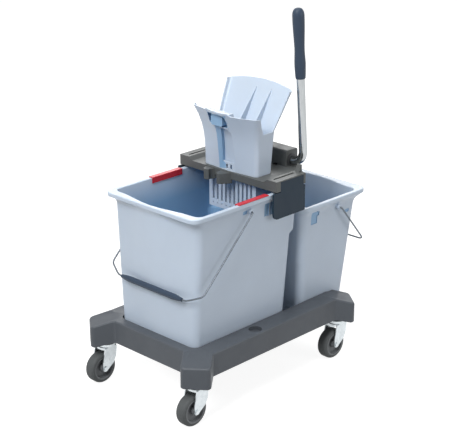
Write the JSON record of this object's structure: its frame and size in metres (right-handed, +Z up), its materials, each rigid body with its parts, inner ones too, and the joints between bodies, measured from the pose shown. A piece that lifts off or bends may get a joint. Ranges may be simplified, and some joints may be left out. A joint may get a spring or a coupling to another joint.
{
  "type": "double mop bucket trolley",
  "caption": "Wheeled mop trolley: a moulded chassis on swivel castors carries a large and a small lift-out bucket with bail handles, and a lever press with a funnel over the large one.",
  "frame": {"origin": "on the floor, under the middle of the trolley's bounding box", "axes": "+Z up, +X along the trolley towards the small bucket, the lever at -Y"},
  "size_m": [0.6586, 0.403, 0.884],
  "materials": {
    "bucket_plastic": "satin",
    "chassis_plastic": "matte",
    "press_plastic": "matte",
    "plate_plastic": "matte",
    "grip_plastic": "satin",
    "clip_plastic": "satin",
    "hub_plastic": "satin",
    "bush_plastic": "satin",
    "tyre_rubber": "matte",
    "zinc_steel": "bright zinc",
    "chrome_steel": "polished"
  },
  "bodies": {
    "chassis": {"chassis": "chassis_plastic", "castor_head_front_near": "zinc_steel", "castor_head_front_far": "zinc_steel", "castor_head_rear_near": "zinc_steel", "castor_head_rear_far": "zinc_steel"},
    "swivel_front_near": {"castor_fork_front_near": "zinc_steel", "castor_axle_front_near": "zinc_steel"},
    "wheel_front_near": {"castor_hub_front_near": "hub_plastic", "castor_tyre_front_near": "tyre_rubber"},
    "swivel_front_far": {"castor_fork_front_far": "zinc_steel", "castor_axle_front_far": "zinc_steel"},
    "wheel_front_far": {"castor_hub_front_far": "hub_plastic", "castor_tyre_front_far": "tyre_rubber"},
    "swivel_rear_near": {"castor_fork_rear_near": "zinc_steel", "castor_axle_rear_near": "zinc_steel"},
    "wheel_rear_near": {"castor_hub_rear_near": "hub_plastic", "castor_tyre_rear_near": "tyre_rubber"},
    "swivel_rear_far": {"castor_fork_rear_far": "zinc_steel", "castor_axle_rear_far": "zinc_steel"},
    "wheel_rear_far": {"castor_hub_rear_far": "hub_plastic", "castor_tyre_rear_far": "tyre_rubber"},
    "large_bucket": {"large_bucket": "bucket_plastic", "colour_clip_near": "clip_plastic", "colour_clip_far": "clip_plastic"},
    "large_bail": {"large_bail": "chrome_steel", "large_bail_grip": "grip_plastic"},
    "small_bucket": {"small_bucket": "bucket_plastic"},
    "small_bail": {"small_bail": "chrome_steel", "small_bail_grip": "grip_plastic"},
    "press": {"press_frame": "press_plastic", "side_plate_near": "plate_plastic", "side_plate_far": "plate_plastic", "sieve": "bucket_plastic", "funnel": "bucket_plastic", "shaft_bush_near": "bush_plastic", "shaft_bush_far": "bush_plastic"},
    "lever": {"lever_tube": "chrome_steel", "hand_grip": "grip_plastic", "drive_shaft": "zinc_steel", "lever_pin": "zinc_steel", "crank_near": "zinc_steel", "crank_far": "zinc_steel", "crank_pins": "zinc_steel", "shaft_collar": "zinc_steel"},
    "press_plate": {"pusher": "press_plastic", "press_plate": "bucket_plastic", "press_plate_screws": "zinc_steel"}
  },
  "joints": [
    {"name": "swivel_front_near", "type": "hinge", "parent": "chassis", "child": "swivel_front_near", "pos_m": [-0.27075, -0.155, 0.085], "axis": [0, 0, 1], "continuous": true},
    {"name": "roll_front_near", "type": "hinge", "parent": "swivel_front_near", "child": "wheel_front_near", "pos_m": [-0.29175, -0.155, 0.0375], "axis": [0, 1, 0], "continuous": true},
    {"name": "swivel_front_far", "type": "hinge", "parent": "chassis", "child": "swivel_front_far", "pos_m": [-0.27075, 0.155, 0.085], "axis": [0, 0, 1], "continuous": true},
    {"name": "roll_front_far", "type": "hinge", "parent": "swivel_front_far", "child": "wheel_front_far", "pos_m": [-0.29175, 0.155, 0.0375], "axis": [0, 1, 0], "continuous": true},
    {"name": "swivel_rear_near", "type": "hinge", "parent": "chassis", "child": "swivel_rear_near", "pos_m": [0.21325, -0.155, 0.085], "axis": [0, 0, 1], "continuous": true},
    {"name": "roll_rear_near", "type": "hinge", "parent": "swivel_rear_near", "child": "wheel_rear_near", "pos_m": [0.19225, -0.155, 0.0375], "axis": [0, 1, 0], "continuous": true},
    {"name": "swivel_rear_far", "type": "hinge", "parent": "chassis", "child": "swivel_rear_far", "pos_m": [0.21325, 0.155, 0.085], "axis": [0, 0, 1], "continuous": true},
    {"name": "roll_rear_far", "type": "hinge", "parent": "swivel_rear_far", "child": "wheel_rear_far", "pos_m": [0.19225, 0.155, 0.0375], "axis": [0, 1, 0], "continuous": true},
    {"name": "large_bucket_lift", "type": "slide", "parent": "chassis", "child": "large_bucket", "axis": [0, 0, 1], "range_m": [0, 0.06]},
    {"name": "large_bail_swing", "type": "hinge", "parent": "large_bucket", "child": "large_bail", "pos_m": [-0.08675, 0, 0.452], "axis": [0, 1, 0], "range_deg": [0, 130]},
    {"name": "small_bucket_lift", "type": "slide", "parent": "chassis", "child": "small_bucket", "axis": [0, 0, 1], "range_m": [0, 0.06]},
    {"name": "small_bail_swing", "type": "hinge", "parent": "small_bucket", "child": "small_bail", "pos_m": [0.22525, 0, 0.384], "axis": [0, -1, 0], "range_deg": [0, 140]},
    {"name": "press_lift", "type": "slide", "parent": "large_bucket", "child": "press", "axis": [0, 0, 1], "range_m": [0, 0.1]},
    {"name": "lever_pull", "type": "hinge", "parent": "press", "child": "lever", "pos_m": [0.12125, 0, 0.513], "axis": [0, 1, 0], "range_deg": [0, 60]},
    {"name": "press_plate_slide", "type": "slide", "parent": "press", "child": "press_plate", "axis": [-1, 0, 0], "range_m": [0, 0.025]}
  ],
  "couplings": [
    {"joint": "press_plate_slide", "follows": "lever_pull", "m_per_rad": 0.023783}
  ]
}
